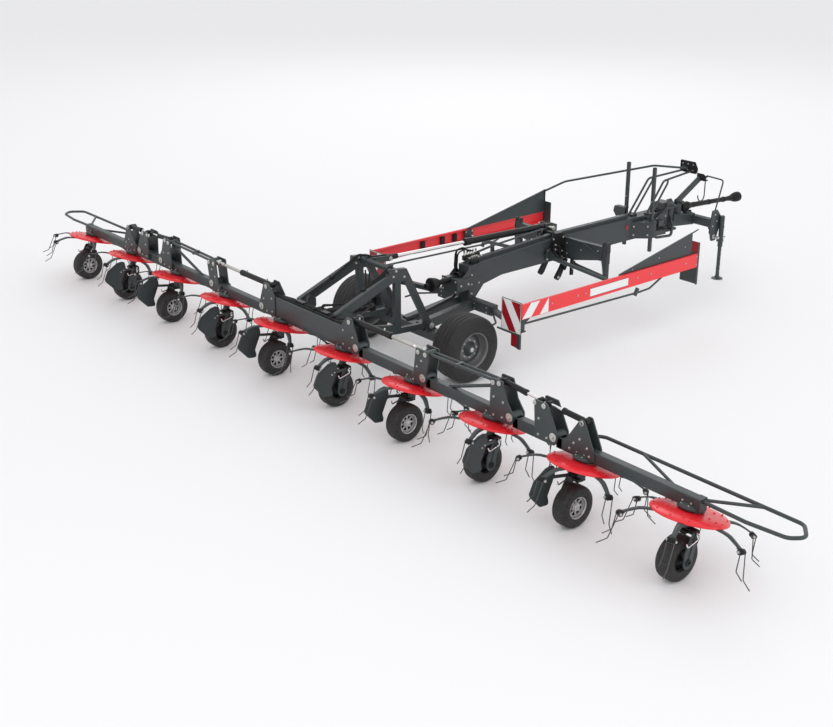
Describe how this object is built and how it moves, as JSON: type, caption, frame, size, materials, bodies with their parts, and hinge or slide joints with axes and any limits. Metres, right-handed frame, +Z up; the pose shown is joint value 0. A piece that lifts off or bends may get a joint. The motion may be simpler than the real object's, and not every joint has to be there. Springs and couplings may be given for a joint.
{
  "type": "trailed rotary hay tedder",
  "caption": "Trailed rotary hay tedder with a hinged row of tined rotors in working position behind a wheeled transport chassis.",
  "frame": {"origin": "on the ground on the machine's centre line, midway along its overall length", "axes": "+X to the machine's right along the rotor row, +Y forwards to the tractor, +Z up"},
  "size_m": [12.9288, 8.6215, 1.775],
  "materials": {
    "frame_paint": "satin anthracite powder coat",
    "hinge_paint": "semi-gloss black",
    "red_paint": "gloss red",
    "bright_steel": "hard chrome",
    "rim_silver": "silver paint",
    "tyre_rubber": "ribbed rubber",
    "guard_plastic": "black polyethylene"
  },
  "bodies": {
    "chassis": {"axle": "frame_paint", "drawbar": "frame_paint", "guard_arms": "frame_paint", "side_guard_left": "red_paint", "side_guard_right": "red_paint", "guard_sheet_left": "frame_paint", "guard_sheet_right": "frame_paint", "stow_posts": "frame_paint", "front_rails": "frame_paint", "rear_shaft": "guard_plastic"},
    "main_wheel_left": {"main_tyre_left": "tyre_rubber", "main_rim_left": "rim_silver"},
    "main_wheel_right": {"main_tyre_right": "tyre_rubber", "main_rim_right": "rim_silver"},
    "tractor_hitch": {"hitch": "frame_paint", "jack_tube": "frame_paint", "pto_shaft": "guard_plastic"},
    "parking_jack": {"jack_leg": "frame_paint"},
    "row_centre": {"lift_frame": "frame_paint", "centre_section": "frame_paint"},
    "lift_cylinder_barrel": {"lift_barrel": "hinge_paint"},
    "lift_cylinder_rod": {"lift_rod": "bright_steel"},
    "inner_wing_right": {"inner_section_right": "frame_paint"},
    "middle_wing_right": {"middle_section_right": "frame_paint", "middle_cylinder_right": "hinge_paint"},
    "link_wing_right": {"link_section_right": "frame_paint"},
    "outer_wing_right": {"outer_section_right": "frame_paint", "outer_cylinder_right": "hinge_paint"},
    "wing_cylinder_barrel_right": {"wing_barrel_right": "hinge_paint"},
    "wing_cylinder_rod_right": {"wing_rod_right": "bright_steel"},
    "inner_wing_left": {"inner_section_left": "frame_paint"},
    "middle_wing_left": {"middle_section_left": "frame_paint", "middle_cylinder_left": "hinge_paint"},
    "link_wing_left": {"link_section_left": "frame_paint"},
    "outer_wing_left": {"outer_section_left": "frame_paint", "outer_cylinder_left": "hinge_paint"},
    "wing_cylinder_barrel_left": {"wing_barrel_left": "hinge_paint"},
    "wing_cylinder_rod_left": {"wing_rod_left": "bright_steel"},
    "rotor_1": {"rotor_1": "red_paint"},
    "rotor_wheel_1": {"rotor_wheel_1": "tyre_rubber"},
    "rotor_2": {"rotor_2": "red_paint"},
    "rotor_wheel_2": {"rotor_wheel_2": "tyre_rubber"},
    "rotor_3": {"rotor_3": "red_paint"},
    "rotor_wheel_3": {"rotor_wheel_3": "tyre_rubber"},
    "rotor_4": {"rotor_4": "red_paint"},
    "rotor_wheel_4": {"rotor_wheel_4": "tyre_rubber"},
    "rotor_5": {"rotor_5": "red_paint"},
    "rotor_wheel_5": {"rotor_wheel_5": "tyre_rubber"},
    "rotor_6": {"rotor_6": "red_paint"},
    "rotor_wheel_6": {"rotor_wheel_6": "tyre_rubber"},
    "rotor_7": {"rotor_7": "red_paint"},
    "rotor_wheel_7": {"rotor_wheel_7": "tyre_rubber"},
    "rotor_8": {"rotor_8": "red_paint"},
    "rotor_wheel_8": {"rotor_wheel_8": "tyre_rubber"},
    "rotor_9": {"rotor_9": "red_paint"},
    "rotor_wheel_9": {"rotor_wheel_9": "tyre_rubber"},
    "rotor_10": {"rotor_10": "red_paint"},
    "rotor_wheel_10": {"rotor_wheel_10": "tyre_rubber"}
  },
  "joints": [
    {"name": "main_wheel_left_spin", "type": "hinge", "parent": "chassis", "child": "main_wheel_left", "pos_m": [-0.96, -2.0293, 0.4], "axis": [1, 0, 0], "continuous": true},
    {"name": "main_wheel_right_spin", "type": "hinge", "parent": "chassis", "child": "main_wheel_right", "pos_m": [0.96, -2.0293, 0.4], "axis": [1, 0, 0], "continuous": true},
    {"name": "hitch_swivel", "type": "hinge", "parent": "chassis", "child": "tractor_hitch", "pos_m": [0, 2.7207, 0.93], "axis": [0, 0, 1], "range_deg": [-60, 60]},
    {"name": "jack_slide", "type": "slide", "parent": "tractor_hitch", "child": "parking_jack", "axis": [0, 0, 1], "range_m": [0, 0.33]},
    {"name": "lift", "type": "hinge", "parent": "chassis", "child": "row_centre", "pos_m": [0, -2.0693, 0.52], "axis": [-1, 0, 0], "range_deg": [0, 90]},
    {"name": "lift_barrel_tilt", "type": "hinge", "parent": "chassis", "child": "lift_cylinder_barrel", "pos_m": [-0.205, 0.4307, 1.16], "axis": [1, 0, 0], "range_deg": [0, 17.41]},
    {"name": "lift_rod_stroke", "type": "slide", "parent": "lift_cylinder_barrel", "child": "lift_cylinder_rod", "axis": [0, 0.9994, -0.0338], "range_m": [0, 0.8296]},
    {"name": "inner_wing_right_fold", "type": "hinge", "parent": "row_centre", "child": "inner_wing_right", "pos_m": [0.91, -3.4993, 0.755], "axis": [0, -1, 0], "range_deg": [-4, 90]},
    {"name": "middle_wing_right_tilt", "type": "hinge", "parent": "inner_wing_right", "child": "middle_wing_right", "pos_m": [2.03, -3.4993, 0.755], "axis": [0, 1, 0], "range_deg": [-6, 4]},
    {"name": "link_wing_right_tilt", "type": "hinge", "parent": "middle_wing_right", "child": "link_wing_right", "pos_m": [3.3, -3.4993, 0.755], "axis": [0, 1, 0], "range_deg": [-4, 4]},
    {"name": "outer_wing_right_tilt", "type": "hinge", "parent": "link_wing_right", "child": "outer_wing_right", "pos_m": [3.875, -3.4993, 0.755], "axis": [0, 1, 0], "range_deg": [-6, 4]},
    {"name": "wing_barrel_right_tilt", "type": "hinge", "parent": "row_centre", "child": "wing_cylinder_barrel_right", "pos_m": [0.8, -3.4993, 1.022], "axis": [0, -1, 0], "range_deg": [-4.7, 101.74]},
    {"name": "wing_rod_right_stroke", "type": "slide", "parent": "wing_cylinder_barrel_right", "child": "wing_cylinder_rod_right", "axis": [-1, 0, 0], "range_m": [-0.0171, 0.3634]},
    {"name": "inner_wing_left_fold", "type": "hinge", "parent": "row_centre", "child": "inner_wing_left", "pos_m": [-0.91, -3.4993, 0.755], "axis": [0, 1, 0], "range_deg": [-4, 90]},
    {"name": "middle_wing_left_tilt", "type": "hinge", "parent": "inner_wing_left", "child": "middle_wing_left", "pos_m": [-2.03, -3.4993, 0.755], "axis": [0, -1, 0], "range_deg": [-6, 4]},
    {"name": "link_wing_left_tilt", "type": "hinge", "parent": "middle_wing_left", "child": "link_wing_left", "pos_m": [-3.3, -3.4993, 0.755], "axis": [0, -1, 0], "range_deg": [-4, 4]},
    {"name": "outer_wing_left_tilt", "type": "hinge", "parent": "link_wing_left", "child": "outer_wing_left", "pos_m": [-3.875, -3.4993, 0.755], "axis": [0, -1, 0], "range_deg": [-6, 4]},
    {"name": "wing_barrel_left_tilt", "type": "hinge", "parent": "row_centre", "child": "wing_cylinder_barrel_left", "pos_m": [-0.8, -3.4993, 1.022], "axis": [0, 1, 0], "range_deg": [-4.7, 101.74]},
    {"name": "wing_rod_left_stroke", "type": "slide", "parent": "wing_cylinder_barrel_left", "child": "wing_cylinder_rod_left", "axis": [1, 0, 0], "range_m": [-0.0171, 0.3634]},
    {"name": "rotor_1_spin", "type": "hinge", "parent": "outer_wing_left", "child": "rotor_1", "pos_m": [-5.4, -3.4983, 0.588], "axis": [0, 0.2639, 0.9646], "continuous": true},
    {"name": "rotor_wheel_1_spin", "type": "hinge", "parent": "outer_wing_left", "child": "rotor_wheel_1", "pos_m": [-5.4, -3.6293, 0.2055], "axis": [1, 0, 0], "continuous": true},
    {"name": "rotor_2_spin", "type": "hinge", "parent": "outer_wing_left", "child": "rotor_2", "pos_m": [-4.2, -3.4983, 0.588], "axis": [0, 0.2639, 0.9646], "continuous": true},
    {"name": "rotor_wheel_2_spin", "type": "hinge", "parent": "outer_wing_left", "child": "rotor_wheel_2", "pos_m": [-4.2, -3.6293, 0.2055], "axis": [1, 0, 0], "continuous": true},
    {"name": "rotor_3_spin", "type": "hinge", "parent": "middle_wing_left", "child": "rotor_3", "pos_m": [-3, -3.4983, 0.588], "axis": [0, 0.2639, 0.9646], "continuous": true},
    {"name": "rotor_wheel_3_spin", "type": "hinge", "parent": "middle_wing_left", "child": "rotor_wheel_3", "pos_m": [-3, -3.6293, 0.2055], "axis": [1, 0, 0], "continuous": true},
    {"name": "rotor_4_spin", "type": "hinge", "parent": "inner_wing_left", "child": "rotor_4", "pos_m": [-1.8, -3.4983, 0.588], "axis": [0, 0.2639, 0.9646], "continuous": true},
    {"name": "rotor_wheel_4_spin", "type": "hinge", "parent": "inner_wing_left", "child": "rotor_wheel_4", "pos_m": [-1.8, -3.6293, 0.2055], "axis": [1, 0, 0], "continuous": true},
    {"name": "rotor_5_spin", "type": "hinge", "parent": "row_centre", "child": "rotor_5", "pos_m": [-0.6, -3.4983, 0.588], "axis": [0, 0.2639, 0.9646], "continuous": true},
    {"name": "rotor_wheel_5_spin", "type": "hinge", "parent": "row_centre", "child": "rotor_wheel_5", "pos_m": [-0.6, -3.6293, 0.2055], "axis": [1, 0, 0], "continuous": true},
    {"name": "rotor_6_spin", "type": "hinge", "parent": "row_centre", "child": "rotor_6", "pos_m": [0.6, -3.4983, 0.588], "axis": [0, 0.2639, 0.9646], "continuous": true},
    {"name": "rotor_wheel_6_spin", "type": "hinge", "parent": "row_centre", "child": "rotor_wheel_6", "pos_m": [0.6, -3.6293, 0.2055], "axis": [1, 0, 0], "continuous": true},
    {"name": "rotor_7_spin", "type": "hinge", "parent": "inner_wing_right", "child": "rotor_7", "pos_m": [1.8, -3.4983, 0.588], "axis": [0, 0.2639, 0.9646], "continuous": true},
    {"name": "rotor_wheel_7_spin", "type": "hinge", "parent": "inner_wing_right", "child": "rotor_wheel_7", "pos_m": [1.8, -3.6293, 0.2055], "axis": [1, 0, 0], "continuous": true},
    {"name": "rotor_8_spin", "type": "hinge", "parent": "middle_wing_right", "child": "rotor_8", "pos_m": [3, -3.4983, 0.588], "axis": [0, 0.2639, 0.9646], "continuous": true},
    {"name": "rotor_wheel_8_spin", "type": "hinge", "parent": "middle_wing_right", "child": "rotor_wheel_8", "pos_m": [3, -3.6293, 0.2055], "axis": [1, 0, 0], "continuous": true},
    {"name": "rotor_9_spin", "type": "hinge", "parent": "outer_wing_right", "child": "rotor_9", "pos_m": [4.2, -3.4983, 0.588], "axis": [0, 0.2639, 0.9646], "continuous": true},
    {"name": "rotor_wheel_9_spin", "type": "hinge", "parent": "outer_wing_right", "child": "rotor_wheel_9", "pos_m": [4.2, -3.6293, 0.2055], "axis": [1, 0, 0], "continuous": true},
    {"name": "rotor_10_spin", "type": "hinge", "parent": "outer_wing_right", "child": "rotor_10", "pos_m": [5.4, -3.4983, 0.588], "axis": [0, 0.2639, 0.9646], "continuous": true},
    {"name": "rotor_wheel_10_spin", "type": "hinge", "parent": "outer_wing_right", "child": "rotor_wheel_10", "pos_m": [5.4, -3.6293, 0.2055], "axis": [1, 0, 0], "continuous": true}
  ],
  "couplings": [
    {"joint": "lift_barrel_tilt", "follows": "lift", "ratio": 0.19012},
    {"joint": "lift_rod_stroke", "follows": "lift", "m_per_rad": 0.52686},
    {"joint": "wing_barrel_right_tilt", "follows": "inner_wing_right_fold", "ratio": 1.126},
    {"joint": "wing_rod_right_stroke", "follows": "inner_wing_right_fold", "m_per_rad": 0.23008},
    {"joint": "wing_barrel_left_tilt", "follows": "inner_wing_left_fold", "ratio": 1.126},
    {"joint": "wing_rod_left_stroke", "follows": "inner_wing_left_fold", "m_per_rad": 0.23008},
    {"joint": "rotor_1_spin", "follows": "rotor_5_spin", "ratio": 1},
    {"joint": "rotor_2_spin", "follows": "rotor_5_spin", "ratio": -1},
    {"joint": "rotor_3_spin", "follows": "rotor_5_spin", "ratio": 1},
    {"joint": "rotor_4_spin", "follows": "rotor_5_spin", "ratio": -1},
    {"joint": "rotor_6_spin", "follows": "rotor_5_spin", "ratio": -1},
    {"joint": "rotor_7_spin", "follows": "rotor_5_spin", "ratio": 1},
    {"joint": "rotor_8_spin", "follows": "rotor_5_spin", "ratio": -1},
    {"joint": "rotor_9_spin", "follows": "rotor_5_spin", "ratio": 1},
    {"joint": "rotor_10_spin", "follows": "rotor_5_spin", "ratio": -1}
  ]
}
